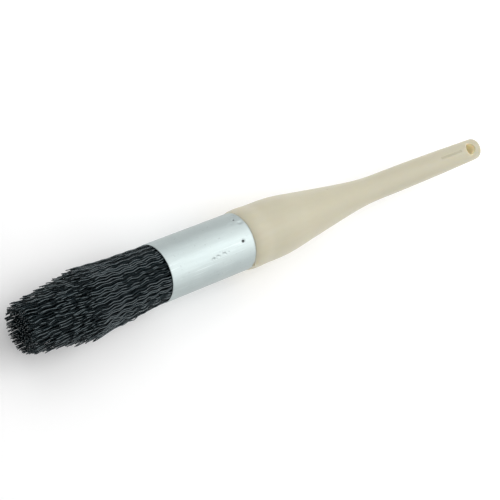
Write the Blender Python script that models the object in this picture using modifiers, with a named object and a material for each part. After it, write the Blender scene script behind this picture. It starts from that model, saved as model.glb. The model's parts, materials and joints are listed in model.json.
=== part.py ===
"""A round parts-cleaning brush: crimped filaments cast in resin inside a staked ferrule, on a moulded handle.

Sizes are in millimetres and become metres as each shape is made. A station is a distance along the brush's
axis from the ferrule's mouth, positive towards the butt of the handle. The brush lies along X with its filament
tips at -X, and its hanging hole runs along Z. The origin is under the middle of the brush, on the surface that
it lies on. An angle round the axis is measured from +Z towards +Y.
"""

import math

import bmesh
import bpy

MM = 0.001
TURN_STEPS = 64
TOUCH_GAP = 0.3
CORNER_ANGLE = math.radians(32)

# Ferrule
FERRULE_LENGTH = 49.4
FERRULE_RADIUS = 14.3
FERRULE_WALL = 0.5
FERRULE_EDGE = 0.12
FERRULE_BORE = FERRULE_RADIUS - FERRULE_WALL
FITTED_RADIUS = FERRULE_BORE - TOUCH_GAP

# Stakes punched through the ferrule's wall into the handle's spigot: (station, angle round the axis)
STAKES = ((43.2, -9.0), (45.2, 39.2), (43.2, 171.0), (45.2, 219.2))
STAKE_MOUTH_RADIUS = 0.85
STAKE_FLOOR_RADIUS = 0.35
STAKE_DEPTH = 0.75
STAKE_WALL = 0.45
STAKE_SEGMENTS = 20

# Filaments
TRIM_LENGTH = 74.0
FLARE_LENGTH = 41.0
FILL_MOUTH_RADIUS = 13.95
FILL_WIDEST_RADIUS = 16.65
FLARE_POWER = 1.5
WIDEST_BAND = 2.0
CONE_TOP = (47.0, 15.5)
TIP_RADIUS = 12.1
TIP_ROUNDING = 2.4
FILL_ROOT = 16.7

# Resin block behind the filaments
RESIN_START = FILL_ROOT + TOUCH_GAP
RESIN_END = 27.0

# Handle
SPIGOT_START = RESIN_END + TOUCH_GAP
SPIGOT_CHAMFER = 1.0
SHOULDER = FERRULE_LENGTH + TOUCH_GAP
SHOULDER_ROUNDING = 0.4
BUTT = 218.5
BUTT_ROUNDING = 2.3
# (station, radius) where the handle's side changes: shoulder, belly, taper, waist, shank, start of the butt
HANDLE_SIDE = (
    (SHOULDER + SHOULDER_ROUNDING, 14.5),
    (68.0, 14.85),
    (78.0, 14.3),
    (92.0, 12.3),
    (110.0, 9.7),
    (126.0, 7.55),
    (138.0, 6.65),
    (158.0, 6.55),
    (190.0, 6.2),
    (BUTT - BUTT_ROUNDING, 5.65),
)
SIDE_STEPS_PER_SPAN = 3

# Hanging hole
HOLE_STATION = 210.4
HOLE_RADIUS = 3.0
HOLE_MOUTH_RADIUS = 3.4
HOLE_STRAIGHT_HALF = 4.6
HOLE_CUT_HALF = 6.0

MIDDLE = (BUTT - TRIM_LENGTH) / 2
AXIS_HEIGHT = FILL_WIDEST_RADIUS * math.cos(math.pi / TURN_STEPS)


def clear_scene():
    for obj in list(bpy.data.objects):
        bpy.data.objects.remove(obj)


def new_collection(name):
    collection = bpy.data.collections.new(name)
    bpy.context.scene.collection.children.link(collection)
    return collection


def new_axis(collection):
    """The brush's axis: its local Z runs from the filament tips to the butt, and its zero is the ferrule's mouth."""
    axis = bpy.data.objects.new("brush_axis", None)
    axis.empty_display_size = 0.02
    axis.location = (-MIDDLE * MM, 0, AXIS_HEIGHT * MM)
    axis.rotation_euler = (0, math.pi / 2, 0)
    collection.objects.link(axis)
    return axis


def new_material(name, colour, roughness, metallic=0.0):
    material = bpy.data.materials.new(name)
    material.use_nodes = True
    shader = material.node_tree.nodes["Principled BSDF"]
    shader.inputs["Base Color"].default_value = (*colour, 1)
    shader.inputs["Roughness"].default_value = roughness
    shader.inputs["Metallic"].default_value = metallic
    return material


def turned(name, outline, collection, axis, closed=False):
    """A turned shape from (radius, station) points that run down its outer side, from the butt to the tip."""
    mesh = bpy.data.meshes.new(name)
    edges = [(i, i + 1) for i in range(len(outline) - 1)]
    if closed:
        edges.append((len(outline) - 1, 0))
    mesh.from_pydata([(radius * MM, 0, station * MM) for radius, station in outline], edges, [])
    obj = bpy.data.objects.new(name, mesh)
    obj.parent = axis
    obj.rotation_euler = (0, 0, math.pi / TURN_STEPS)
    collection.objects.link(obj)
    screw = obj.modifiers.new("Turn", "SCREW")
    screw.steps = TURN_STEPS
    screw.render_steps = TURN_STEPS
    screw.use_merge_vertices = True
    screw.merge_threshold = 0.00001
    return obj


def make_tool(obj):
    """Marks an object as a cutter or a joined-on shape that isn't a part itself."""
    obj.hide_render = True
    obj.display_type = "WIRE"
    return obj


def radial_cone(name, station, angle, inner, outer, tools, axis):
    """A cone frustum along a radius of the brush, from inner to outer, each (distance from the axis, radius)."""
    mesh = bpy.data.meshes.new(name)
    shape = bmesh.new()
    bmesh.ops.create_cone(
        shape,
        cap_ends=True,
        segments=STAKE_SEGMENTS,
        radius1=inner[1] * MM,
        radius2=outer[1] * MM,
        depth=(outer[0] - inner[0]) * MM,
    )
    shape.to_mesh(mesh)
    shape.free()
    obj = bpy.data.objects.new(name, mesh)
    around = math.pi - math.radians(angle)
    middle = (inner[0] + outer[0]) / 2
    obj.parent = axis
    obj.location = (middle * math.cos(around) * MM, middle * math.sin(around) * MM, station * MM)
    obj.rotation_euler = (0, math.pi / 2, around)
    tools.objects.link(obj)
    return make_tool(obj)


def combine(obj, tool, operation):
    boolean = obj.modifiers.new(tool.name, "BOOLEAN")
    boolean.operation = operation
    boolean.object = tool


def finish(obj, material):
    """Gives the object the mesh that its modifiers make, shaded smooth except at its corners."""
    graph = bpy.context.evaluated_depsgraph_get()
    mesh = bpy.data.meshes.new_from_object(obj.evaluated_get(graph))
    mesh.name = obj.name
    obj.modifiers.clear()
    obj.data = mesh
    mesh.shade_smooth()
    mesh.set_sharp_from_angle(angle=CORNER_ANGLE)
    mesh.materials.clear()
    mesh.materials.append(material)


def rounded_corner(centre, radius, start, end, steps=5):
    """(radius, station) points on a quarter circle from one direction to another, in degrees from outwards."""
    turns = [math.radians(start + (end - start) * i / steps) for i in range(steps + 1)]
    return [(centre[0] + radius * math.cos(a), centre[1] + radius * math.sin(a)) for a in turns]


def smooth_side(knots, steps):
    """(radius, station) points on a smooth curve through (station, radius) knots, by cubic Hermite spans."""
    last = len(knots) - 1
    slopes = []
    for i in range(last + 1):
        before, after = knots[max(i - 1, 0)], knots[min(i + 1, last)]
        slopes.append((after[1] - before[1]) / (after[0] - before[0]))
    points = []
    for i in range(last):
        (x0, y0), (x1, y1) = knots[i], knots[i + 1]
        width = x1 - x0
        for step in range(steps):
            u = step / steps
            radius = (
                (2 * u**3 - 3 * u**2 + 1) * y0
                + (u**3 - 2 * u**2 + u) * width * slopes[i]
                + (3 * u**2 - 2 * u**3) * y1
                + (u**3 - u**2) * width * slopes[i + 1]
            )
            points.append((radius, x0 + u * width))
    points.append((knots[-1][1], knots[-1][0]))
    return points


def handle_outline():
    side = smooth_side(HANDLE_SIDE, SIDE_STEPS_PER_SPAN)
    butt = rounded_corner(
        (HANDLE_SIDE[-1][1] - BUTT_ROUNDING, BUTT - BUTT_ROUNDING), BUTT_ROUNDING, 90, 0
    )
    shoulder = rounded_corner(
        (HANDLE_SIDE[0][1] - SHOULDER_ROUNDING, SHOULDER + SHOULDER_ROUNDING), SHOULDER_ROUNDING, 0, -90, 3
    )
    spigot = [
        (FITTED_RADIUS, SHOULDER),
        (FITTED_RADIUS, SPIGOT_START + SPIGOT_CHAMFER),
        (FITTED_RADIUS - SPIGOT_CHAMFER, SPIGOT_START),
        (0, SPIGOT_START),
    ]
    return [(0, BUTT)] + butt + side[-2:0:-1] + shoulder + spigot


def make_handle(parts, tools, axis):
    handle = turned("handle", handle_outline(), parts, axis)
    hole = make_tool(
        turned(
            "hanging_hole",
            [
                (0, HOLE_CUT_HALF),
                (HOLE_MOUTH_RADIUS, HOLE_CUT_HALF),
                (HOLE_RADIUS, HOLE_STRAIGHT_HALF),
                (HOLE_RADIUS, -HOLE_STRAIGHT_HALF),
                (HOLE_MOUTH_RADIUS, -HOLE_CUT_HALF),
                (0, -HOLE_CUT_HALF),
            ],
            tools,
            axis,
        )
    )
    hole.location = (0, 0, HOLE_STATION * MM)
    hole.rotation_euler = (0, math.pi / 2, 0)
    combine(handle, hole, "DIFFERENCE")
    for number, (station, angle) in enumerate(STAKES, 1):
        floor = FERRULE_RADIUS - STAKE_DEPTH - STAKE_WALL - TOUCH_GAP
        spread = STAKE_WALL + 2 * TOUCH_GAP
        inner = (floor, STAKE_FLOOR_RADIUS + spread)
        outer = (FERRULE_RADIUS, STAKE_MOUTH_RADIUS + spread)
        socket = radial_cone(f"stake_socket_{number}", station, angle, inner, outer, tools, axis)
        combine(handle, socket, "DIFFERENCE")
    finish(handle, new_material("cream_plastic", (0.68, 0.62, 0.46), 0.42))


def make_ferrule(parts, tools, axis):
    edge = FERRULE_EDGE
    ferrule = turned(
        "ferrule",
        [
            (FERRULE_RADIUS - edge, FERRULE_LENGTH),
            (FERRULE_RADIUS, FERRULE_LENGTH - edge),
            (FERRULE_RADIUS, edge),
            (FERRULE_RADIUS - edge, 0),
            (FERRULE_BORE + edge, 0),
            (FERRULE_BORE, edge),
            (FERRULE_BORE, FERRULE_LENGTH - edge),
            (FERRULE_BORE + edge, FERRULE_LENGTH),
        ],
        parts,
        axis,
        closed=True,
    )
    for number, (station, angle) in enumerate(STAKES, 1):
        floor = FERRULE_RADIUS - STAKE_DEPTH
        inner = (floor - STAKE_WALL, STAKE_FLOOR_RADIUS + STAKE_WALL)
        outer = (FERRULE_BORE + FERRULE_WALL / 2, STAKE_MOUTH_RADIUS + STAKE_WALL)
        bump = radial_cone(f"stake_bump_{number}", station, angle, inner, outer, tools, axis)
        combine(ferrule, bump, "UNION")
        inner = (floor, STAKE_FLOOR_RADIUS)
        outer = (FERRULE_RADIUS + STAKE_DEPTH, 2 * STAKE_MOUTH_RADIUS - STAKE_FLOOR_RADIUS)
        pit = radial_cone(f"stake_pit_{number}", station, angle, inner, outer, tools, axis)
        combine(ferrule, pit, "DIFFERENCE")
    finish(ferrule, new_material("satin_metal", (0.72, 0.75, 0.74), 0.34, 1.0))


def flare_radius(depth):
    """The filament bundle's radius at a distance out of the ferrule, before it is trimmed."""
    swell = FILL_WIDEST_RADIUS - FILL_MOUTH_RADIUS
    return FILL_MOUTH_RADIUS + swell * (depth / FLARE_LENGTH) ** FLARE_POWER


def make_bristle_fill(parts, axis):
    flare_steps = 7
    depths = [FLARE_LENGTH * i / flare_steps for i in range(1, flare_steps + 1)]
    tip = rounded_corner((TIP_RADIUS - TIP_ROUNDING, TIP_ROUNDING - TRIM_LENGTH), TIP_ROUNDING, 0, -90, 4)
    outline = [(0, FILL_ROOT), (FITTED_RADIUS, FILL_ROOT), (FITTED_RADIUS, 0)]
    outline += [(flare_radius(depth), -depth) for depth in depths]
    outline += [(FILL_WIDEST_RADIUS, -FLARE_LENGTH - WIDEST_BAND), (CONE_TOP[1], -CONE_TOP[0])]
    outline += tip + [(0, -TRIM_LENGTH)]
    fill = turned("bristle_fill", outline, parts, axis)
    finish(fill, new_material("black_nylon", (0.012, 0.016, 0.018), 0.5))


def make_resin_set(parts, axis):
    outline = [(0, RESIN_END), (FITTED_RADIUS, RESIN_END), (FITTED_RADIUS, RESIN_START), (0, RESIN_START)]
    resin = turned("resin_set", outline, parts, axis)
    finish(resin, new_material("amber_resin", (0.28, 0.16, 0.06), 0.3))


def main():
    clear_scene()
    parts = new_collection("parts_cleaning_brush")
    tools = new_collection("cutters")
    axis = new_axis(parts)
    make_handle(parts, tools, axis)
    make_ferrule(parts, tools, axis)
    make_bristle_fill(parts, axis)
    make_resin_set(parts, axis)


main()
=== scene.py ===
"""The looks of the round parts-cleaning brush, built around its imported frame.

The brush lies along X with its filament tips at -X. In this script a station is a distance along the axis
from the ferrule's mouth, in metres, positive towards the butt of the handle. A filament's depth is the
distance the other way, out of the mouth. An angle round the axis is measured from +Z towards +Y. Sizes come
from the frame, and the details' own sizes are named below.
"""

import json
import math

import bpy
import numpy as np
from mathutils import Matrix, Vector


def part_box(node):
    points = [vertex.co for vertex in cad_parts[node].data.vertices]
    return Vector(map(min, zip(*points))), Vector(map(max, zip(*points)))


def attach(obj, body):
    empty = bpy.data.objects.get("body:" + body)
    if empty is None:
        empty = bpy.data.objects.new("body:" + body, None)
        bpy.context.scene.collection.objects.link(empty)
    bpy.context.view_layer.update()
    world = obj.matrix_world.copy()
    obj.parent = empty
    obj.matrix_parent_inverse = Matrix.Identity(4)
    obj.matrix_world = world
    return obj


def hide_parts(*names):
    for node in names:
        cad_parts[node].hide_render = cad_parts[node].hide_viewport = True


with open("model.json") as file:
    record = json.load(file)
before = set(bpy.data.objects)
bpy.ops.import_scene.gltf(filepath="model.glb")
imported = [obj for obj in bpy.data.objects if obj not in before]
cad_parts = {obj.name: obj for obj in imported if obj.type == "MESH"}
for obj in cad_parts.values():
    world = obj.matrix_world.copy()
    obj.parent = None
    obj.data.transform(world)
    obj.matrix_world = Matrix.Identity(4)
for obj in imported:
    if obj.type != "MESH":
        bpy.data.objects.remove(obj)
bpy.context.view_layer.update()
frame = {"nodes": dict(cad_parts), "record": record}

MM = 0.001
SEED = 16

# The frame's main places
FERRULE_LOW, FERRULE_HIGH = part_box("ferrule")
FILL_LOW, FILL_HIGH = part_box("bristle_fill")
HANDLE_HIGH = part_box("handle")[1]
MOUTH_X = FERRULE_LOW.x
AXIS_Z = (FERRULE_LOW.z + FERRULE_HIGH.z) / 2
FERRULE_LENGTH = FERRULE_HIGH.x - FERRULE_LOW.x
BUTT = HANDLE_HIGH.x - MOUTH_X
TRIM_LENGTH = MOUTH_X - FILL_LOW.x
FILL_ROOT = FILL_HIGH.x - MOUTH_X

# A ring of a turned CAD node: its vertices lie this near in station, and it has at least this many
SAME_STATION = 0.01 * MM
RING_VERTICES = 32

# Camera: its place from the centre of the ferrule's mouth, its right and up axes, and its lens
CAMERA_FROM_MOUTH = Vector((-0.3601, -0.0550, 0.5825))
CAMERA_RIGHT = Vector((0.75714, -0.41474, 0.50472))
CAMERA_UP = Vector((0.30282, 0.90741, 0.29139))
CAMERA_SHIFT = (-0.001, 0.001)
CAMERA_LENS_MM = 108.0
SENSOR_MM = 36.0

# Lights: a tent of softboxes round the origin, each with its direction and its power in watts
WORLD_STRENGTH = 0.43
SOFTBOX_SIZE = 0.8
SOFTBOX_DISTANCE = 1.0
SOFTBOXES = {
    "facing": ((0.58, -0.18, 0.80), 4.4),
    "overhead": ((0.5, 0.25, 0.85), 1.8),
    "left_butt": ((0.5, 0.7, 0.6), 2.05),
    "left_tip": ((-0.35, 0.8, 0.6), 1.4),
    "right_butt": ((0.5, -0.75, 0.5), 2.7),
}

# Floor: its side in metres and its faint glow, which keeps the shadow pale
FLOOR_SIZE = 4.0
FLOOR_GLOW = 0.1

# Ferrule
TUBE_WALL = 0.5 * MM
# Punched stakes: (station, angle, size), in millimetres and degrees, the size against a full stake
STAKES = ((43.2, -9.0, 1.0), (45.2, 39.2, 0.74), (43.2, 171.0, 0.9), (45.2, 219.2, 0.8))
STAKE_RADIUS = 0.85 * MM
STAKE_DEPTH = 0.75 * MM
INNER_STAKE_EXTRA = 0.35 * MM
RIM_ROUNDING = 0.1 * MM
MOUTH_ROUNDING = 0.2 * MM
INNER_ROUNDING = 0.06 * MM
LEAD_IN = 0.2 * MM
LEAD_IN_LENGTH = 1.0 * MM
OUT_OF_ROUND = 0.03 * MM
# The middle of a scuffed patch: (station, angle), in millimetres and degrees
SCUFFED = (28.5, -20.0)
# Small dings in the tube: (station, angle, radius, depth), in millimetres and degrees
DINGS = (
    (5.5, -32.0, 0.9, 0.16),
    (23.6, -22.4, 0.7, 0.24),
    (24.4, -19.4, 1.2, 0.4),
    (26.0, -21.0, 0.6, 0.26),
    (27.1, -17.6, 1.1, 0.34),
    (28.0, -19.0, 0.6, 0.26),
    (31.0, -17.2, 1.2, 0.34),
    (31.9, -20.0, 0.6, 0.22),
    (33.6, -17.8, 0.7, 0.2),
    (46.9, 28.0, 2.2, 0.34),
    (47.8, 52.0, 1.8, 0.34),
    (42.4, 32.0, 1.6, 0.12),
    (18.5, 74.0, 1.2, 0.08),
    (30.0, -118.0, 1.0, 0.1),
    (12.0, 152.0, 0.9, 0.1),
    (37.5, -150.0, 1.3, 0.08),
)

# Handle
BUTT_ROUNDING = 2.3 * MM
LIP_ROUNDING = 0.15 * MM
SURFACE_WAVE = 0.025 * MM
SHARP_ANGLE = math.radians(38)
PARTING_HEIGHT = 0.05 * MM
PARTING_HALF_WIDTH = 0.16 * MM
PARTING_ANGLES = (90.0, 270.0)
BAR_STATIONS = (187.0, 203.4)
BAR_ANGLE = 7.0
BAR_HALF_WIDTH = 0.9 * MM
BAR_DEPTH = 0.26 * MM
BAR_SOFTNESS = 0.5 * MM
VENT_STATION = 106.9
VENT_ANGLE = 43.0
VENT_RADIUS = 0.7 * MM
VENT_DEPTH = 0.12 * MM
HOLE_ROUNDING = 0.6 * MM
JOINT_GAP = 0.03 * MM
# Plastic flash at the joint
FLASH_STATION = 50.2
FLASH_ANGLE = -72.0
FLASH_RADIUS = 1.2 * MM
FLASH_HEIGHT = 0.6 * MM

# Filaments: one lies in a ring of roots, is crimped like the others of its lock and ends at the trim
FILAMENT_RADIUS = 0.235 * MM
FILAMENT_SIDES = 6
RING_STEP = 0.72 * MM
RING_PITCH = 1.06 * MM
ROOT_SHAKE = 0.15 * MM
ROOT_SINK = 0.16 * MM
CRIMP_LENGTH = 7.2 * MM
CRIMP_HEIGHT = 0.34 * MM
CRIMP_STEPS = 12
CRIMP_STARTS_OVER = 3 * MM
TIP_CRIMP_LOSS = 0.35
TIP_LOSS_DEPTHS = (32 * MM, 52 * MM)
LOCK_COUNT = 50
LOCK_PULL = 0.015
LOCK_MIXED = 0.1
FLARE_POWER = 1.5
RAGGED_ON_CONE = 1.8 * MM
RAGGED_ON_TIP = 0.3 * MM
# A filament that ends this near to the tip is cut by its blunt face, the others by the cone
TIP_FACE = 3 * MM
# How far a filament's crimp is out of step with its lock, in radians, and what a stray or the cone adds
PHASE_SHAKE = 0.4
STRAY_PHASE_SHAKE = 2.0
CONE_PHASE_SHAKE = 0.5
CONE_SHAKE_DEPTHS = (25 * MM, 40 * MM)
# How far filaments wander from straight, by whole locks, each on its own, and the strays
LOCK_WANDER = 0.07 * MM
OWN_WANDER = 0.14 * MM
STRAY_WANDER = 0.5 * MM
WANDER_GROWS_OVER = 25 * MM
LEAN = 1.15 * MM
LEAN_REACH = 50 * MM
STRAY_SHARE = 0.04
STUB_SHARE = 0.07
# How far inside the bundle's outline its outermost centre lines lie, and how much it widens at the mouth
OUTLINE_INSET = 0.32 * MM
MOUTH_SPREAD = 0.022
BUNDLE_SECTORS = 8
# A filament's side has painted shade, a darker and less shiny copy of the nylon, where it lies deeper in the
# bundle than this, more on the cone
PAINTED_SHADE_COVER = 0.3 * MM
PAINTED_SHADE_ON_CONE = 0.75 * MM
NEAR_CONE = (22 * MM, 32 * MM)


def radius_rings(node):
    """(stations, radii) of a turned CAD node, from its vertices: the widest radius at each station."""
    mesh = frame["nodes"][node].data
    places = np.zeros(len(mesh.vertices) * 3)
    mesh.vertices.foreach_get("co", places)
    places = places.reshape(-1, 3)
    steps = np.round((places[:, 0] - MOUTH_X) / SAME_STATION).astype(int)
    radii = np.hypot(places[:, 1], places[:, 2] - AXIS_Z)
    rings = [(step * SAME_STATION, radii[steps == step]) for step in np.unique(steps)]
    full = [(s, r.max()) for s, r in rings if len(r) >= RING_VERTICES or r.max() < 0.1 * MM]
    return np.array(full).T


def smooth_curve(knots_x, knots_y, x):
    """Values on a smooth curve through the knots, by cubic Hermite spans."""
    slopes = np.gradient(knots_y, knots_x)
    i = np.clip(np.searchsorted(knots_x, x) - 1, 0, len(knots_x) - 2)
    width = knots_x[i + 1] - knots_x[i]
    u = (x - knots_x[i]) / width
    return (
        (2 * u**3 - 3 * u**2 + 1) * knots_y[i]
        + (u**3 - 2 * u**2 + u) * width * slopes[i]
        + (3 * u**2 - 2 * u**3) * knots_y[i + 1]
        + (u**3 - u**2) * width * slopes[i + 1]
    )


def smoothstep(low, high, x):
    """0 up to `low`, 1 from `high` on, and a smooth rise between them."""
    u = np.clip((x - low) / (high - low), 0, 1)
    return u * u * (3 - 2 * u)


def mesh_object(name, vertices, faces, materials):
    """A mesh object from an array of vertices and a list of (faces, material's index, smooth or not)."""
    mesh = bpy.data.meshes.new(name)
    mesh.vertices.add(len(vertices))
    mesh.vertices.foreach_set("co", np.ascontiguousarray(vertices, np.float32).ravel())
    totals = np.concatenate([np.full(len(f), f.shape[1]) for f, _, _ in faces])
    corners = np.concatenate([f.ravel() for f, _, _ in faces])
    mesh.loops.add(len(corners))
    mesh.loops.foreach_set("vertex_index", corners.astype(np.int32))
    mesh.polygons.add(len(totals))
    starts = np.concatenate([[0], np.cumsum(totals)[:-1]])
    mesh.polygons.foreach_set("loop_start", starts.astype(np.int32))
    slots = np.concatenate([np.full(len(f), slot) for f, slot, _ in faces])
    mesh.polygons.foreach_set("material_index", slots.astype(np.int32))
    smooth = np.concatenate([np.full(len(f), s) for f, _, s in faces])
    mesh.polygons.foreach_set("use_smooth", smooth.astype(bool))
    mesh.update(calc_edges=True)
    mesh.validate()
    for material in materials:
        mesh.materials.append(material)
    obj = bpy.data.objects.new(name, mesh)
    bpy.context.scene.collection.objects.link(obj)
    return obj


def grid_faces(rows, columns, wrap_rows=False):
    """Quads of a grid whose columns close on themselves, numbered row by row."""
    row = np.arange(rows if wrap_rows else rows - 1)[:, None]
    column = np.arange(columns)[None, :]
    right = (column + 1) % columns
    start = row * columns
    below = (row + 1) % rows * columns
    corners = [start + column, start + right, below + right, below + column]
    return np.stack(np.broadcast_arrays(*corners), axis=-1).reshape(-1, 4)


def ring_points(stations, angles, radii):
    """Points of a grid of stations and angles, with a radius for each."""
    x = np.broadcast_to(MOUTH_X + stations, radii.shape)
    return np.stack([x, radii * np.sin(angles), AXIS_Z + radii * np.cos(angles)], axis=-1)


def with_clusters(base, clusters):
    """Grid lines with finer ones added round some places: (middle, half width, step)."""
    lines = [np.asarray(base, float)]
    for middle, half, step in clusters:
        near = np.arange(middle - half, middle + half + step / 2, step)
        lines.append(near)
        lines[0] = lines[0][np.abs(lines[0] - middle) > half + step]
    return np.unique(np.round(np.concatenate(lines), 9))


def angle_between(a, b):
    """The signed difference of two angles, in radians from -pi to pi."""
    return (a - b + math.pi) % (2 * math.pi) - math.pi


def angle_grid(count, clusters):
    """Angles round the axis, finer round some places: (middle, half width, step), all in degrees."""
    clusters = [(math.radians(a % 360), math.radians(half), math.radians(step)) for a, half, step in clusters]
    angles = with_clusters(np.linspace(0, 2 * math.pi, count, endpoint=False), clusters)
    return np.unique(np.round(angles % (2 * math.pi), 9))


def quarter(rounding, steps=5):
    """A quarter round that joins two faces: each point's distance from the one and from the other."""
    arc = np.linspace(0, math.pi / 2, steps)
    return [(rounding * (1 - math.sin(a)), rounding * (1 - math.cos(a))) for a in arc]


# Materials


class Nodes:
    """Short ways to add and link nodes in one material."""

    def __init__(self, name):
        self.material = bpy.data.materials.new(name)
        self.material.use_nodes = True
        self.tree = self.material.node_tree
        self.shader = self.tree.nodes["Principled BSDF"]
        self.place = self.add("ShaderNodeTexCoord").outputs["Object"]

    def add(self, kind, **settings):
        node = self.tree.nodes.new(kind)
        for name, value in settings.items():
            setattr(node, name, value)
        return node

    def set(self, socket, value):
        self.shader.inputs[socket].default_value = value

    def link(self, output, socket):
        self.tree.links.new(output, socket)

    def scaled(self, scale):
        """The place on the object, stretched by a scale along each axis."""
        mapping = self.add("ShaderNodeMapping")
        mapping.inputs["Scale"].default_value = scale
        self.link(self.place, mapping.inputs["Vector"])
        return mapping.outputs["Vector"]

    def noise(self, scale, detail=3.0, rough=0.5, place=None):
        node = self.add("ShaderNodeTexNoise")
        node.inputs["Scale"].default_value = scale
        node.inputs["Detail"].default_value = detail
        node.inputs["Roughness"].default_value = rough
        self.link(place or self.place, node.inputs["Vector"])
        return node.outputs["Fac"]

    def ramp(self, value, stops):
        """A colour or grey for a value: stops are (position, colour)."""
        node = self.add("ShaderNodeValToRGB")
        ramp = node.color_ramp
        while len(ramp.elements) < len(stops):
            ramp.elements.new(0.5)
        for element, (position, colour) in zip(ramp.elements, stops):
            element.position = position
            element.color = (*colour, 1) if isinstance(colour, tuple) else (colour, colour, colour, 1)
        self.link(value, node.inputs["Fac"])
        return node.outputs["Color"]

    def mix(self, share, a, b):
        """Two colours mixed: a share of 0 gives the first, and 1 the second."""
        node = self.add("ShaderNodeMix", data_type="RGBA")
        if isinstance(share, float):
            node.inputs["Factor"].default_value = share
        else:
            self.link(share, node.inputs["Factor"])
        colour_a, colour_b = node.inputs[6], node.inputs[7]
        for socket, value in ((colour_a, a), (colour_b, b)):
            if isinstance(value, tuple):
                socket.default_value = (*value, 1)
            else:
                self.link(value, socket)
        return node.outputs[2]

    def range(self, value, low, high, from_low=0.0, from_high=1.0):
        """A value mapped from one range onto another, and held inside it."""
        node = self.add("ShaderNodeMapRange")
        node.inputs["From Min"].default_value = from_low
        node.inputs["From Max"].default_value = from_high
        node.inputs["To Min"].default_value = low
        node.inputs["To Max"].default_value = high
        self.link(value, node.inputs["Value"])
        return node.outputs["Result"]

    def translucent(self, depth):
        """Let light spread under the skin, as in a pale plastic."""
        self.set("Subsurface Weight", 0.6)
        self.set("Subsurface Radius", (1.0, 0.7, 0.35))
        self.set("Subsurface Scale", depth)

    def colour_by(self, value, low_colour, high_colour):
        """Base colour that goes with a noise value, from its low stretches to its high ones."""
        self.link(self.ramp(value, ((0.3, low_colour), (0.7, high_colour))), self.shader.inputs["Base Color"])

    def bump(self, height, distance, strength=1.0, onto=None):
        node = self.add("ShaderNodeBump")
        node.inputs["Distance"].default_value = distance
        node.inputs["Strength"].default_value = strength
        self.link(height, node.inputs["Height"])
        if onto is not None:
            self.link(onto, node.inputs["Normal"])
        return node.outputs["Normal"]


def cream_plastic():
    """Moulded ivory plastic: uneven colour, a satin skin, faint flow marks, and painted shade that greys it
    towards the butt.
    """
    n = Nodes("cream_plastic")
    cloud = n.noise(55.0, 4.0, 0.55)
    flow = n.noise(1.0, 3.0, 0.5, n.scaled((35.0, 260.0, 260.0)))
    base = n.ramp(cloud, ((0.3, (0.515, 0.485, 0.365)), (0.7, (0.55, 0.52, 0.40))))
    colour = n.mix(n.range(flow, 0.0, 0.35, 0.45, 0.75), base, (0.49, 0.45, 0.325))
    along = n.add("ShaderNodeSeparateXYZ")
    n.link(n.place, along.inputs["Vector"])
    # Painted shade: the colour greys towards the butt, where the shank is lit less
    butt_painted_shade = n.range(along.outputs["X"], 0.0, 0.6, -0.01, 0.09)
    colour = n.mix(butt_painted_shade, colour, (0.455, 0.43, 0.325))
    n.link(colour, n.shader.inputs["Base Color"])
    n.link(n.range(cloud, 0.36, 0.5), n.shader.inputs["Roughness"])
    skin = n.bump(n.noise(2600.0, 2.0), 0.00002, 0.5)
    n.link(n.bump(flow, 0.00006, 0.35, skin), n.shader.inputs["Normal"])
    n.translucent(4 * MM)
    n.set("IOR", 1.49)
    n.set("Specular IOR Level", 0.4)
    return n.material


def hole_wall_painted_light():
    """The wall of the hanging hole: the same plastic, with painted light paling it inside its rim and painted
    shade warming it in its depth.
    """
    n = Nodes("hole_wall_painted_light")
    cloud = n.noise(300.0, 3.0, 0.5)
    across = n.add("ShaderNodeMapping")
    across.inputs["Location"].default_value = (0, 0, -AXIS_Z)
    across.inputs["Scale"].default_value = (0, 1, 1)
    n.link(n.place, across.inputs["Vector"])
    from_axis = n.add("ShaderNodeVectorMath", operation="LENGTH")
    n.link(across.outputs["Vector"], from_axis.inputs[0])
    outward = n.range(from_axis.outputs["Value"], 0.0, 1.0, 2.4 * MM, 5.8 * MM)
    # Painted light and shade: paler than the handle a little inside the rim, for light shining through the
    # plastic, and a warmer, dimmer cream towards the middle of the hole
    stops = ((0.0, (0.78, 0.71, 0.49)), (0.6, (0.92, 0.88, 0.72)), (0.93, (0.57, 0.535, 0.41)))
    colour = n.ramp(outward, stops)
    colour = n.mix(n.range(cloud, 0.0, 0.3, 0.4, 0.8), colour, (0.52, 0.47, 0.33))
    n.link(colour, n.shader.inputs["Base Color"])
    n.link(n.range(cloud, 0.4, 0.5), n.shader.inputs["Roughness"])
    n.link(n.bump(cloud, 0.00003, 0.3), n.shader.inputs["Normal"])
    n.translucent(4 * MM)
    n.set("IOR", 1.49)
    n.set("Specular IOR Level", 0.4)
    return n.material


def sunk_bar_plastic():
    """The plastic in the sunk bar, a little darker than the rest of the handle."""
    n = Nodes("sunk_bar_plastic")
    bar_mottle = n.noise(2400.0, 3.0, 0.5)
    n.colour_by(bar_mottle, (0.40, 0.37, 0.265), (0.455, 0.425, 0.31))
    n.link(n.range(bar_mottle, 0.5, 0.65), n.shader.inputs["Roughness"])
    n.link(n.bump(bar_mottle, 0.00003, 0.4), n.shader.inputs["Normal"])
    n.translucent(3 * MM)
    return n.material


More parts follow.
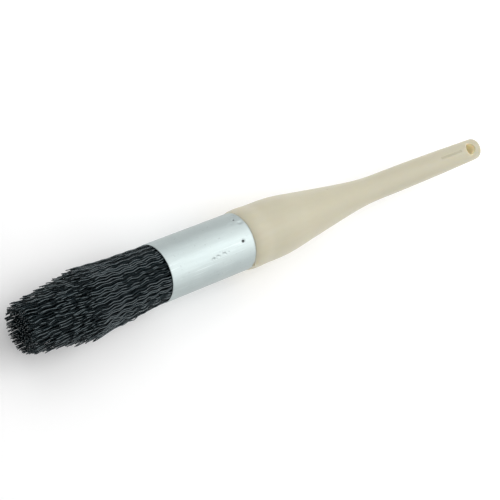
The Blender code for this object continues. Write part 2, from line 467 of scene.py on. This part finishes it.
def satin_metal():
    """Drawn tube with a satin finish: fine lines along it, specks, and bright scratches in patches."""
    n = Nodes("satin_metal")
    drawn = n.noise(1.0, 4.0, 0.6, n.scaled((60.0, 1500.0, 1500.0)))
    cloud = n.noise(110.0, 5.0, 0.6)
    specks = n.noise(900.0, 2.0, 0.5)
    scratches = n.noise(1.0, 2.0, 0.5, n.scaled((45.0, 2200.0, 2200.0)))
    rubbed = n.noise(38.0, 2.0, 0.5)
    base = n.ramp(cloud, ((0.3, (0.42, 0.475, 0.475)), (0.7, (0.465, 0.52, 0.515))))
    colour = n.mix(n.range(specks, 0.0, 0.5, 0.66, 0.78), base, (0.26, 0.28, 0.29))
    bright = n.ramp(scratches, ((0.60, 0.0), (0.68, 1.0)))
    bright = n.mix(n.range(rubbed, 0.0, 1.0, 0.48, 0.6), (0.0, 0.0, 0.0), bright)
    colour = n.mix(n.range(bright, 0.0, 0.3), colour, (0.70, 0.76, 0.76))
    n.link(colour, n.shader.inputs["Base Color"])
    n.set("Metallic", 1.0)
    rough = n.mix(0.4, n.ramp(cloud, ((0.3, 0.46), (0.7, 0.55))), n.ramp(drawn, ((0.3, 0.42), (0.7, 0.59))))
    n.link(rough, n.shader.inputs["Roughness"])
    fine = n.bump(drawn, 0.00001, 0.35)
    n.link(n.bump(cloud, 0.00003, 0.25, fine), n.shader.inputs["Normal"])
    return n.material


def pit_painted_shade():
    """The inside of a punched stake: dark, dull metal that paints in the shade of the pit."""
    n = Nodes("pit_painted_shade")
    mottle = n.noise(2500.0, 3.0, 0.6)
    n.colour_by(mottle, (0.18, 0.195, 0.195), (0.30, 0.32, 0.32))
    n.set("Metallic", 1.0)
    n.link(n.range(mottle, 0.55, 0.75), n.shader.inputs["Roughness"])
    n.link(n.bump(mottle, 0.00003, 0.4), n.shader.inputs["Normal"])
    return n.material


def black_nylon(name, sheen, light):
    """Black nylon filament, uneven from one to the next: `sheen` is its shine and `light` its paleness."""
    n = Nodes(name)
    between = n.noise(1.0, 2.0, 0.5, n.scaled((45.0, 900.0, 900.0)))
    dust = n.noise(420.0, 4.0, 0.6)
    dark, pale, dusty = (
        tuple(light * part for part in colour)
        for colour in ((0.002, 0.007, 0.009), (0.006, 0.016, 0.021), (0.022, 0.036, 0.042))
    )
    base = n.ramp(between, ((0.3, dark), (0.7, pale)))
    colour = n.mix(n.range(dust, 0.0, 0.4, 0.55, 0.8), base, dusty)
    n.link(colour, n.shader.inputs["Base Color"])
    n.link(n.range(between, 0.13, 0.24, 0.3, 0.7), n.shader.inputs["Roughness"])
    n.link(n.bump(n.noise(5200.0, 2.0), 0.00001, 0.4), n.shader.inputs["Normal"])
    n.set("IOR", 1.53)
    n.set("Specular Tint", (0.84, 0.97, 1.0, 1.0))
    n.set("Specular IOR Level", sheen)
    return n.material


def nylon_end():
    """The cut end of a filament: duller than its side and paler grey, partly for its rough cut and partly as
    a painted highlight.
    """
    n = Nodes("nylon_end")
    torn = n.noise(3800.0, 3.0, 0.6)
    n.colour_by(torn, (0.03, 0.036, 0.038), (0.10, 0.112, 0.116))
    n.set("Roughness", 0.55)
    n.link(n.bump(torn, 0.00004, 0.6), n.shader.inputs["Normal"])
    return n.material


def amber_resin():
    """Cast resin, seen only if the ferrule is opened."""
    n = Nodes("amber_resin")
    cloud = n.noise(140.0, 4.0, 0.6)
    n.colour_by(cloud, (0.22, 0.12, 0.04), (0.34, 0.21, 0.09))
    n.link(n.range(cloud, 0.2, 0.35), n.shader.inputs["Roughness"])
    n.link(n.bump(cloud, 0.0002, 0.3), n.shader.inputs["Normal"])
    return n.material


def pale_floor():
    """Near-white matt floor with a faint glow."""
    n = Nodes("pale_floor")
    grain = n.noise(30.0, 3.0, 0.5)
    n.colour_by(grain, (0.93, 0.93, 0.93), (0.95, 0.95, 0.95))
    n.set("Roughness", 0.8)
    n.set("Specular IOR Level", 0.1)
    n.set("Emission Color", (1.0, 1.0, 1.0, 1.0))
    n.set("Emission Strength", FLOOR_GLOW)
    return n.material


# Ferrule


def pit(distance, radius, depth):
    """How far a punched pit lowers the surface: a conical pit with a soft lip."""
    cone = 1 - smoothstep(0.15 * radius, 1.05 * radius, distance)
    lip = 1 - smoothstep(0.9 * radius, 1.9 * radius, distance)
    return depth * (0.86 * cone + 0.14 * lip)


def stake_depth(stations, angles, radius, widen):
    """How far the stakes lower the tube's wall at each point of a grid."""
    lowered = np.zeros(np.broadcast(stations, angles).shape)
    for station, angle, size in STAKES:
        across = radius * angle_between(angles, math.radians(angle))
        distance = np.hypot(stations - station * MM, across)
        lowered += pit(distance, STAKE_RADIUS * size + widen, STAKE_DEPTH * size)
    return lowered


def ding_depth(stations, angles, radius):
    """How far the small dings lower the tube's wall at each point of a grid."""
    lowered = np.zeros(np.broadcast(stations, angles).shape)
    for station, angle, ding_radius, depth in DINGS:
        across = radius * angle_between(angles, math.radians(angle))
        distance = np.hypot(stations - station * MM, 1.6 * across)
        lowered += depth * MM * (1 - smoothstep(0, ding_radius * MM, distance))
    return lowered


def ferrule_grid():
    """Stations along the ferrule's side and angles round it, finer at the stakes and at the scuffs."""
    stakes = [(s * MM, 1.8 * MM, 0.12 * MM) for s in sorted({s for s, _, _ in STAKES})]
    scuffs = [(SCUFFED[0] * MM, 6.5 * MM, 0.25 * MM)]
    side = with_clusters(np.linspace(RIM_ROUNDING, FERRULE_LENGTH - RIM_ROUNDING, 70), stakes + scuffs)
    side = side[(side > MOUTH_ROUNDING + 0.05 * MM) & (side <= FERRULE_LENGTH - RIM_ROUNDING)]
    return side, angle_grid(216, [(angle, 7, 0.5) for _, angle, _ in STAKES] + [(SCUFFED[1], 6, 1)])


def lead_in(station):
    """How far the bore opens out at a station near the mouth."""
    return LEAD_IN * max(0.0, 1 - station / LEAD_IN_LENGTH)


def ferrule_outline(side, outer, inner):
    """The wall's closed outline: station, radius, 1 outside or -1 inside, and 1 where a stake may dent it."""
    loop = [(s, outer, 1, 1) for s in side[::-1]]
    loop += [(a, outer - b, 1, 0) for a, b in quarter(MOUTH_ROUNDING)]
    loop += [(a, inner + lead_in(a) + b, -1, 0) for a, b in quarter(INNER_ROUNDING)[::-1]]
    loop += [(s, inner + lead_in(s), -1, 1) for s in side[1:-1]]
    loop += [(FERRULE_LENGTH - a, inner + b, -1, 0) for a, b in quarter(RIM_ROUNDING)]
    loop += [(FERRULE_LENGTH - b, outer - a, 1, 0) for a, b in quarter(RIM_ROUNDING)[:-1]]
    return loop


def make_ferrule(materials):
    """The tube as a closed wall with rounded rims, its stakes punched in and its small dings."""
    outer = radius_rings("ferrule")[1].max()
    places = frame["nodes"]["ferrule"].data.vertices
    inner = min(math.hypot(v.co.y, v.co.z - AXIS_Z) for v in places if v.co.x < MOUTH_X + 1 * MM)
    side, angles = ferrule_grid()
    outline = ferrule_outline(side, outer, inner)
    stations, radii, way, dented = (np.array(column)[:, None] for column in zip(*outline))
    angles = angles[None, :]
    staked = stake_depth(stations, angles, outer, np.where(way > 0, 0.0, INNER_STAKE_EXTRA)) * dented
    dinged = ding_depth(stations, angles, outer) * dented
    out_of_round = OUT_OF_ROUND * np.cos(2 * angles + 0.7)
    points = ring_points(stations, angles, radii - staked - dinged + out_of_round)
    faces = grid_faces(len(outline), angles.size, wrap_rows=True)
    # Faces deep in a stake's pit on the outside get the dark metal: painted shade in the pit
    pit_shaded = (staked * (way > 0)).reshape(-1)[faces].mean(axis=1) > 0.3 * STAKE_DEPTH
    parts = [(faces[~pit_shaded], 0, True), (faces[pit_shaded], 1, True)]
    obj = mesh_object("ferrule_tube", points.reshape(-1, 3), parts, materials)
    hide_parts("ferrule")
    return obj


# Handle


def hole_place():
    """(station, radius) of the hanging hole, from its stated opening."""
    box = frame["record"]["physics"]["openings"][0]["box_m"]
    corner = math.hypot(box[1][0] - box[0][0], box[1][1] - box[0][1]) / 2
    return (box[0][0] + box[1][0]) / 2 - MOUTH_X, corner + 0.1 * MM


def hole_cutter(station, radius, shank, materials):
    """A cutter for the hanging hole whose two mouths open out in a round that follows the shank's curve."""
    turns = np.linspace(0, 2 * math.pi, 96, endpoint=False)
    rows = [(np.full_like(turns, shank + 1 * MM), radius + HOLE_ROUNDING)]
    for wider, lower in quarter(HOLE_ROUNDING, 9):
        saddle = np.sqrt(shank**2 - ((radius + wider) * np.sin(turns)) ** 2)
        rows.append((saddle - lower, radius + wider))
    levels = rows + [(-z, r) for z, r in rows[::-1]]
    points = [
        np.stack([r * np.cos(turns) + station + MOUTH_X, r * np.sin(turns), z + AXIS_Z], axis=-1)
        for z, r in levels
    ]
    count = len(turns)
    sides = grid_faces(len(levels), count)[:, ::-1]
    top = np.arange(count)[None, :]
    bottom = (len(levels) - 1) * count + np.arange(count)[None, ::-1]
    faces = [(sides.reshape(-1, 4), 1, True), (top, 0, False), (bottom, 0, False)]
    return mesh_object("hole_cutter", np.concatenate(points), faces, materials)


def bar_depth(stations, angles, radii):
    """How deep the plain bar sinks into the shank."""
    across = np.abs(radii * angle_between(angles, math.radians(BAR_ANGLE)))
    middle = (BAR_STATIONS[0] + BAR_STATIONS[1]) / 2 * MM
    half = (BAR_STATIONS[1] - BAR_STATIONS[0]) / 2 * MM
    along = 1 - smoothstep(half - BAR_SOFTNESS, half, np.abs(stations - middle))
    return BAR_DEPTH * along * (1 - smoothstep(BAR_HALF_WIDTH - BAR_SOFTNESS, BAR_HALF_WIDTH, across))


def handle_relief(stations, angles, radii):
    """Everything that stands out of the handle's turned shape or sinks into it."""
    relief = np.zeros(radii.shape)
    for angle in PARTING_ANGLES:
        across = np.abs(radii * angle_between(angles, math.radians(angle)))
        relief += PARTING_HEIGHT * (1 - smoothstep(0.3 * PARTING_HALF_WIDTH, PARTING_HALF_WIDTH, across))
    relief -= bar_depth(stations, angles, radii)
    across = radii * angle_between(angles, math.radians(VENT_ANGLE))
    distance = np.hypot(stations - VENT_STATION * MM, across)
    relief -= VENT_DEPTH * (1 - smoothstep(0.7 * VENT_RADIUS, VENT_RADIUS, distance))
    wave = np.sin(stations / (9.0 * MM) + 1.3 * np.cos(angles)) * np.cos(stations / (31.0 * MM) + 2 * angles)
    return relief + SURFACE_WAVE * wave


def joint_flash(stations, angles, radii):
    """A chip of plastic flash that stands out over the end of the ferrule."""
    across = radii * angle_between(angles, math.radians(FLASH_ANGLE))
    distance = np.hypot(1.8 * (stations - FLASH_STATION * MM), across)
    return FLASH_HEIGHT * (1 - smoothstep(0.4 * FLASH_RADIUS, FLASH_RADIUS, distance))


def handle_grid(start, end):
    """Stations along the handle's side and angles round it, finer at its small details."""
    small = [(FLASH_STATION, 1.3, 0.15), (VENT_STATION, 1.2, 0.15), *((s, 0.6, 0.12) for s in BAR_STATIONS)]
    clusters = [(s * MM, half * MM, step * MM) for s, half, step in small]
    lines = with_clusters(np.linspace(start, end, 230), clusters)
    parting = [(angle, 2.5, 0.25) for angle in PARTING_ANGLES]
    angles = angle_grid(180, [*parting, (BAR_ANGLE, 6, 0.8), (VENT_ANGLE, 6, 0.8), (FLASH_ANGLE, 5, 0.6)])
    return lines[(lines >= start) & (lines <= end)], angles


def spigot_outline(start, radius, shoulder):
    """(station, radius) along the spigot, from its end face to the handle's shoulder."""
    chamfer = 1.0 * MM
    step = 0.02 * MM
    end_face = [(start, 0.4 * radius), (start, radius - chamfer)]
    return [*end_face, (start + chamfer, radius), (shoulder - step, radius), (shoulder, radius + step)]


def handle_outline():
    """The turned outline: (station, radius, 1 on the side where relief stands), and its side's two ends."""
    stations, radii = radius_rings("handle")
    shoulder = FERRULE_LENGTH + JOINT_GAP
    on_side = (stations > shoulder + 0.3 * MM) & (stations < BUTT - BUTT_ROUNDING + 1e-5)
    knots_s, knots_r = stations[on_side], radii[on_side]
    lines, angles = handle_grid(knots_s[0], knots_s[-1])
    start = stations.min()
    spigot_r = np.median(radii[(stations > start + 0.5 * MM) & (stations < shoulder - 1 * MM)])
    before = spigot_outline(start, spigot_r, shoulder)
    before += [(shoulder + a, knots_r[0] - b) for a, b in quarter(LIP_ROUNDING, 9)[::-2][:-1]]
    after = [(BUTT - a, knots_r[-1] - b) for b, a in quarter(BUTT_ROUNDING, 9)[::-1][1:]]
    after += [(BUTT, (knots_r[-1] - BUTT_ROUNDING) * share) for share in (0.75, 0.5, 0.25)]
    side = zip(lines, smooth_curve(knots_s, knots_r, lines))
    outline = [(s, r, 0) for s, r in before] + [(s, r, 1) for s, r in side] + [(s, r, 0) for s, r in after]
    return outline, angles, (knots_s[0], knots_s[-1])


def end_fans(start, end, rows, count):
    """Triangles that close a grid's first row onto the point `start` and its last onto the point `end`."""
    column = np.arange(count)
    after = (column + 1) % count
    last = (rows - 1) * count
    start_fan = np.stack([np.full(count, start), after, column], axis=-1)
    end_fan = np.stack([np.full(count, end), last + column, last + after], axis=-1)
    return [(start_fan, 0, True), (end_fan, 0, True)]


def make_handle(materials):
    """The handle as one moulding: turned side, rounded butt, spigot, parting lines, bar and hanging hole."""
    outline, angles, (side_start, side_end) = handle_outline()
    stations, radii, on_side = (np.array(column)[:, None] for column in zip(*outline))
    angles = angles[None, :]
    radii = np.broadcast_to(radii, (len(outline), angles.size))
    fade = on_side * smoothstep(side_start, side_start + 2 * MM, stations)
    fade = fade * (1 - smoothstep(side_end - 2 * MM, side_end, stations))
    past_lip = stations > FERRULE_LENGTH + JOINT_GAP + 0.5 * LIP_ROUNDING
    relief = handle_relief(stations, angles, radii) * fade
    relief += joint_flash(stations, angles, radii) * past_lip
    points = ring_points(stations, angles, radii + relief).reshape(-1, 3)
    ends = [(MOUTH_X + outline[0][0], 0, AXIS_Z), (MOUTH_X + BUTT, 0, AXIS_Z)]
    sides = grid_faces(len(outline), angles.size)
    in_bar = (bar_depth(stations, angles, radii) * fade > 0.4 * BAR_DEPTH).reshape(-1)[sides].all(axis=1)
    faces = [(sides[~in_bar], 0, True), (sides[in_bar], 2, True)]
    faces += end_fans(len(points), len(points) + 1, len(outline), angles.size)
    obj = mesh_object("handle_moulding", np.concatenate([points, ends]), faces, materials)
    cut_hole(obj)
    obj.data.set_sharp_from_angle(angle=SHARP_ANGLE)
    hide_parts("handle")
    return obj


def cut_hole(obj):
    """Cut the hanging hole through the shank, and keep only the finished mesh."""
    station, radius = hole_place()
    rings = radius_rings("handle")
    shank = float(np.interp(station, rings[0], rings[1]))
    cutter = hole_cutter(station, radius, shank, list(obj.data.materials))
    boolean = obj.modifiers.new("hanging_hole", "BOOLEAN")
    boolean.operation = "DIFFERENCE"
    boolean.solver = "EXACT"
    boolean.object = cutter
    graph = bpy.context.evaluated_depsgraph_get()
    mesh = bpy.data.meshes.new_from_object(obj.evaluated_get(graph))
    obj.modifiers.clear()
    obj.data = mesh
    bpy.data.objects.remove(cutter)


# Filaments


def crimp_wave(phase):
    """A crimp between a sine and a zigzag."""
    return np.sin(phase) - 0.08 * np.sin(3 * phase)


def spiral_places(count, radius):
    """Evenly spread places on a disc."""
    index = np.arange(count)
    golden = math.pi * (3 - math.sqrt(5))
    spread = radius * np.sqrt((index + 0.5) / count)
    return np.stack([spread * np.cos(golden * index), spread * np.sin(golden * index)], axis=-1)


def ring_places(radius, rng):
    """Places in rings from the rim of a disc to its middle, shaken a little."""
    places = []
    for ring in np.arange(radius, 0.3 * RING_STEP, -RING_STEP):
        count = max(1, round(2 * math.pi * ring / RING_PITCH))
        turns = 2 * math.pi * (np.arange(count) + rng.random()) / count
        places.append(ring * np.stack([np.cos(turns), np.sin(turns)], axis=-1))
    places = np.concatenate(places)
    places += rng.normal(0, ROOT_SHAKE, places.shape)
    length = np.hypot(*places.T)
    sunk = np.minimum(length, radius) - np.abs(rng.normal(0, ROOT_SINK, len(places)))
    return places * (np.maximum(sunk, 0.2 * length) / length)[:, None]


class Bundle:
    """The shape of the whole filament bundle, read from the frame."""

    def __init__(self):
        stations, radii = radius_rings("bristle_fill")
        outside = -stations > 1 * MM
        self.depths, self.radii = -stations[outside][::-1], radii[outside][::-1]
        self.widest = self.radii.max()
        self.widest_depth = self.depths[self.radii > self.widest - 0.01 * MM].min()
        self.bore = radius_rings("ferrule")[1].max() - TUBE_WALL
        grow = (self.depths[0] / self.widest_depth) ** FLARE_POWER
        self.mouth = (self.radii[0] - self.widest * grow) / (1 - grow)

    def flare(self, depth):
        """The bundle's radius at a depth, as if it were never trimmed."""
        out = np.maximum(depth, 0) / self.widest_depth
        return self.mouth + (self.widest - self.mouth) * out**FLARE_POWER

    def trim(self, depth):
        """The radius that the trimmed bundle has at a depth, and 1 m before the trim starts."""
        side = (self.depths >= self.widest_depth) & (self.radii > 0.5 * self.widest)
        trimmed = np.interp(depth, self.depths[side], self.radii[side])
        return np.where(depth < self.widest_depth, 1.0, trimmed)

    def cover(self, line):
        """How deep each point of a filament's centre line lies under the surface of the bundle."""
        depths = MOUTH_X - line[:, 0]
        radii = np.hypot(line[:, 1] + lean(depths), line[:, 2] - AXIS_Z)
        side = np.minimum(self.flare(depths), self.trim(depths)) - radii
        side = side * (1 - 0.1 * smoothstep(5 * MM, self.widest_depth + 8 * MM, depths))
        return np.minimum(side, TRIM_LENGTH - depths)

    def deep(self, line):
        """Which points of a filament's centre line lie deep in the bundle, more so along the cut cone: their
        sides get painted shade.
        """
        depths = MOUTH_X - line[:, 0]
        near_cone = smoothstep(*NEAR_CONE, depths)
        return self.cover(line) > PAINTED_SHADE_COVER + PAINTED_SHADE_ON_CONE * near_cone


def lean(depths):
    """How far the bundle leans to -Y at each depth."""
    return LEAN * smoothstep(-0.1 * LEAN_REACH, LEAN_REACH, depths)


class Locks:
    """Groups of filaments that are crimped and wander alike."""

    def __init__(self, roots, radius, rng):
        self.places = spiral_places(LOCK_COUNT, radius) + rng.normal(0, 0.5 * MM, (LOCK_COUNT, 2))
        near = np.argsort(((roots[:, None, :] - self.places[None, :, :]) ** 2).sum(-1), axis=1)
        self.of = np.where(rng.random(len(roots)) < LOCK_MIXED, near[:, 1], near[:, 0])
        around = np.arctan2(self.places[:, 1], self.places[:, 0])
        drift = 1.2 * np.sin(2 * around + 0.8) + 0.9 * np.sin(3 * around + 2.0)
        self.phase = drift + rng.normal(0, 0.5, LOCK_COUNT)
        self.turn = around + math.pi / 2 + rng.normal(0, 0.4, LOCK_COUNT)
        self.stretch = rng.normal(1, 0.03, LOCK_COUNT)
        self.height = rng.uniform(0.75, 1.15, LOCK_COUNT)
        self.lift = rng.normal(0, 1, (LOCK_COUNT, 2, 3))
        self.rate = rng.uniform(0.12, 0.4, (LOCK_COUNT, 2, 3)) / (1 * MM)
        self.start = rng.uniform(0, 2 * math.pi, (LOCK_COUNT, 2, 3))

    def wander(self, lock, depths):
        """How a lock strays sideways along its depths, before it is scaled."""
        return (np.sin(depths[:, None, None] * self.rate[lock] + self.start[lock]) * self.lift[lock]).sum(-1)


def cut_depth(share, bundle):
    """Where the trimming cut a filament that has this share of the bundle's radius."""
    trial = np.linspace(0, TRIM_LENGTH, 500)
    over = (share * bundle.flare(trial) > bundle.trim(trial) - 0.3 * MM) & (trial > bundle.widest_depth)
    return trial[over].min() if over.any() else TRIM_LENGTH - 0.4 * MM


def filament_end(share, bundle, own, longer):
    """The depth at which a filament ends: at the trim, raggedly, some a little longer than the rest."""
    end = cut_depth(share, bundle)
    ragged = RAGGED_ON_CONE if end < TRIM_LENGTH - TIP_FACE else RAGGED_ON_TIP
    return min(end + ragged * own - 0.2 * MM + longer, TRIM_LENGTH + 0.5 * MM)


def filament_depths(end, share):
    """Depths along a filament, fine where it can be seen, and where the fine ones start."""
    seen = end + 5 * MM if share > 0.72 else 16 * MM
    fine = np.arange(end, max(end - seen, -5 * MM), -CRIMP_LENGTH / CRIMP_STEPS)[::-1]
    coarse = np.arange(-FILL_ROOT + 0.4 * MM, fine[0] - 2 * MM, 5 * MM)
    return np.concatenate([coarse, fine]), fine[0]


def straight_path(root, depths, bundle, pull):
    """A filament's path as the bundle flares and leans, before it wanders and is crimped."""
    flared = (bundle.flare(depths) - OUTLINE_INSET) / (bundle.mouth - OUTLINE_INSET)
    growth = np.where(depths > 0, flared, 1.0)
    growth = growth * (1 + MOUTH_SPREAD * smoothstep(-1.1 * MM, -0.1 * MM, depths))
    path = (root + smoothstep(1 * MM, 20 * MM, depths)[:, None] * pull) * growth[:, None]
    path[:, 0] -= lean(depths)
    return path


def wandering(path, depths, locks, lock, stray, rng):
    """A path with its lock's wander, its own, and a stray's."""
    loose = smoothstep(0, WANDER_GROWS_OVER, depths)[:, None]
    path = path + LOCK_WANDER * loose * locks.wander(lock, depths)
    own_rate = rng.uniform(0.1, 0.35, 2) / (1 * MM)
    path = path + OWN_WANDER * loose * np.sin(depths[:, None] * own_rate + rng.uniform(0, 6, 2))
    if stray:
        path = path + STRAY_WANDER * loose * np.sin(depths[:, None] / (5 * MM) + rng.uniform(0, 6, 2))
    return path


def crimp(depths, start, locks, lock, out_of_step, size):
    """How far the crimp takes a filament to either side at each depth."""
    phase = 2 * math.pi * depths / (CRIMP_LENGTH * locks.stretch[lock]) + locks.phase[lock]
    phase = phase + out_of_step
    height = CRIMP_HEIGHT * locks.height[lock] * size
    height = height * smoothstep(start, start + CRIMP_STARTS_OVER, depths)
    height = height * (1 - TIP_CRIMP_LOSS * smoothstep(*TIP_LOSS_DEPTHS, depths))
    return height * crimp_wave(phase)


def filament_line(root, lock, locks, bundle, root_radius, rng):
    """Centre points of one filament, from the resin to its cut end."""
    share = np.hypot(*root) / root_radius
    own_phase, own_size, own_turn, own_end = rng.normal(0, 1, 4)
    stray = rng.random() < STRAY_SHARE
    stub = rng.random() < STUB_SHARE
    end = filament_end(share, bundle, own_end, rng.uniform(0.4, 1.6) * MM * stub)
    depths, crimp_start = filament_depths(end, share)
    path = straight_path(root, depths, bundle, LOCK_PULL * (locks.places[lock] - root))
    path = wandering(path, depths, locks, lock, stray, rng)
    near_end = smoothstep(*CONE_SHAKE_DEPTHS, depths) * (end < TRIM_LENGTH - TIP_FACE)
    shake = PHASE_SHAKE + STRAY_PHASE_SHAKE * stray + CONE_PHASE_SHAKE * near_end
    sideways = crimp(depths, crimp_start, locks, lock, shake * own_phase, 1 + 0.1 * own_size)
    turn = locks.turn[lock] + 0.2 * own_turn + 1.2 * own_turn * stray
    path = path + sideways[:, None] * np.array([math.cos(turn), math.sin(turn)])
    path = path * inside_bore(path, depths, root_radius)[:, None]
    return np.stack([MOUTH_X - depths, path[:, 0], AXIS_Z + path[:, 1]], axis=-1)


def inside_bore(path, depths, root_radius):
    """The scale that keeps each point of a path inside the ferrule. Points well out of it have more room."""
    open_air = 1 * (depths > 1.5 * MM)
    room = root_radius + LEAD_IN * np.clip(1 + depths / LEAD_IN_LENGTH, 0, 3) + open_air
    return np.minimum(1, room / np.hypot(*path.T))


def make_filaments(materials):
    """All the filaments, joined into one piece for each sector of the bundle."""
    rng = np.random.default_rng(SEED)
    bundle = Bundle()
    root_radius = bundle.bore - FILAMENT_RADIUS - 0.02 * MM
    roots = ring_places(root_radius, rng)
    locks = Locks(roots, root_radius, rng)
    sectors = [[] for _ in range(BUNDLE_SECTORS)]
    for root, lock in zip(roots, locks.of):
        line = filament_line(root, lock, locks, bundle, root_radius, rng)
        radius = FILAMENT_RADIUS * (1 + 0.03 * rng.normal())
        sector = int(math.atan2(root[1], root[0]) % (2 * math.pi) / (2 * math.pi) * BUNDLE_SECTORS)
        rings = tube(line, radius, rng.normal(0, 0.25, 2))
        sectors[sector % BUNDLE_SECTORS].append((rings, bundle.deep(line)))
    pieces = []
    for number, tubes in enumerate(sectors, 1):
        pieces.append(join_tubes(f"filaments_{number}", tubes, materials))
        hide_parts("bristle_fill")
    return pieces


def tube(centre, radius, tilt):
    """Rings of points round a centre line, the last one cut aslant."""
    tangent = np.gradient(centre, axis=0)
    tangent /= np.linalg.norm(tangent, axis=1)[:, None]
    side = np.cross(tangent, (0.0, 0.6, 0.8))
    side /= np.linalg.norm(side, axis=1)[:, None]
    other = np.cross(tangent, side)
    turns = np.linspace(0, 2 * math.pi, FILAMENT_SIDES, endpoint=False)
    ring = np.cos(turns)[None, :, None] * side[:, None, :] + np.sin(turns)[None, :, None] * other[:, None, :]
    points = centre[:, None, :] + radius * ring
    slant = radius * (tilt[0] * np.cos(turns) + tilt[1] * np.sin(turns))
    points[-1] += slant[:, None] * tangent[-1]
    return points


def join_tubes(name, tubes, materials):
    """One mesh of many closed tubes. Its materials: open sides, cut ends, and painted shade on the sides deep
    in the bundle.
    """
    points, sides, painted_shade_sides, ends = [], [], [], []
    start = 0
    for rings, deep in tubes:
        rows = len(rings)
        points.append(rings.reshape(-1, 3))
        quads = (start + grid_faces(rows, FILAMENT_SIDES)).reshape(rows - 1, FILAMENT_SIDES, 4)
        sides.append(quads[~deep[:-1]].reshape(-1, 4))
        painted_shade_sides.append(quads[deep[:-1]].reshape(-1, 4))
        first = np.arange(FILAMENT_SIDES)
        ends.append(start + first[None, ::-1])
        ends.append(start + (rows - 1) * FILAMENT_SIDES + first[None, :])
        start += rows * FILAMENT_SIDES
    sides, ends, painted_shade_sides = np.concatenate(sides), np.concatenate(ends), np.concatenate(painted_shade_sides)
    faces = [(sides, 0, True), (ends, 1, False), (painted_shade_sides, 2, True)]
    return mesh_object(name, np.concatenate(points), faces, materials)


# Setting


def make_floor(material):
    bpy.ops.mesh.primitive_plane_add(size=FLOOR_SIZE, location=(0, 0, 0))
    floor = bpy.context.object
    floor.name = "floor"
    floor.data.materials.append(material)


def make_lights():
    """A white world and the tent of softboxes."""
    world = bpy.data.worlds.new("studio")
    world.use_nodes = True
    background = world.node_tree.nodes["Background"]
    background.inputs["Color"].default_value = (1.0, 1.0, 1.0, 1)
    background.inputs["Strength"].default_value = WORLD_STRENGTH
    bpy.context.scene.world = world
    for name, (direction, power) in SOFTBOXES.items():
        light = bpy.data.lights.new(name, "AREA")
        light.shape = "SQUARE"
        light.size = SOFTBOX_SIZE
        light.energy = power
        obj = bpy.data.objects.new(name, light)
        bpy.context.scene.collection.objects.link(obj)
        place = Vector(direction).normalized() * SOFTBOX_DISTANCE
        obj.location = place
        obj.rotation_euler = (-place).to_track_quat("-Z", "Y").to_euler()


def make_camera():
    """The camera at the viewing angle, with its axes made square to each other."""
    camera = bpy.data.objects.new("camera", bpy.data.cameras.new("camera"))
    bpy.context.scene.collection.objects.link(camera)
    right, up = CAMERA_RIGHT.normalized(), CAMERA_UP
    back = right.cross(up).normalized()
    up = back.cross(right)
    turn = Matrix((right, up, back)).transposed().to_4x4()
    place = Vector((MOUTH_X, 0, AXIS_Z)) + CAMERA_FROM_MOUTH
    camera.matrix_world = Matrix.Translation(place) @ turn
    camera.data.sensor_width = SENSOR_MM
    camera.data.lens = CAMERA_LENS_MM
    camera.data.shift_x, camera.data.shift_y = CAMERA_SHIFT
    camera.data.clip_start = 0.01
    bpy.context.scene.camera = camera


def main():
    make_camera()
    make_lights()
    make_floor(pale_floor())
    handle = make_handle([cream_plastic(), hole_wall_painted_light(), sunk_bar_plastic()])
    ferrule = make_ferrule([satin_metal(), pit_painted_shade()])
    open_nylon = black_nylon("black_nylon", 0.64, 1.0)
    cut_nylon = nylon_end()
    # Painted shade: a darker, less shiny copy of the nylon for the sides of filaments deep in the bundle
    shaded_nylon = black_nylon("black_nylon_painted_shade", 0.15, 0.75)
    filaments = make_filaments([open_nylon, cut_nylon, shaded_nylon])
    pieces = {"cream_plastic": [handle], "satin_metal": [ferrule], "black_nylon": filaments}
    for slot, made in pieces.items():
        for piece in made:
            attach(piece, "root")
    resin = frame["nodes"]["resin_set"]
    resin.data.materials.clear()
    resin.data.materials.append(amber_resin())
    bpy.context.scene.view_settings.view_transform = "Standard"


main()
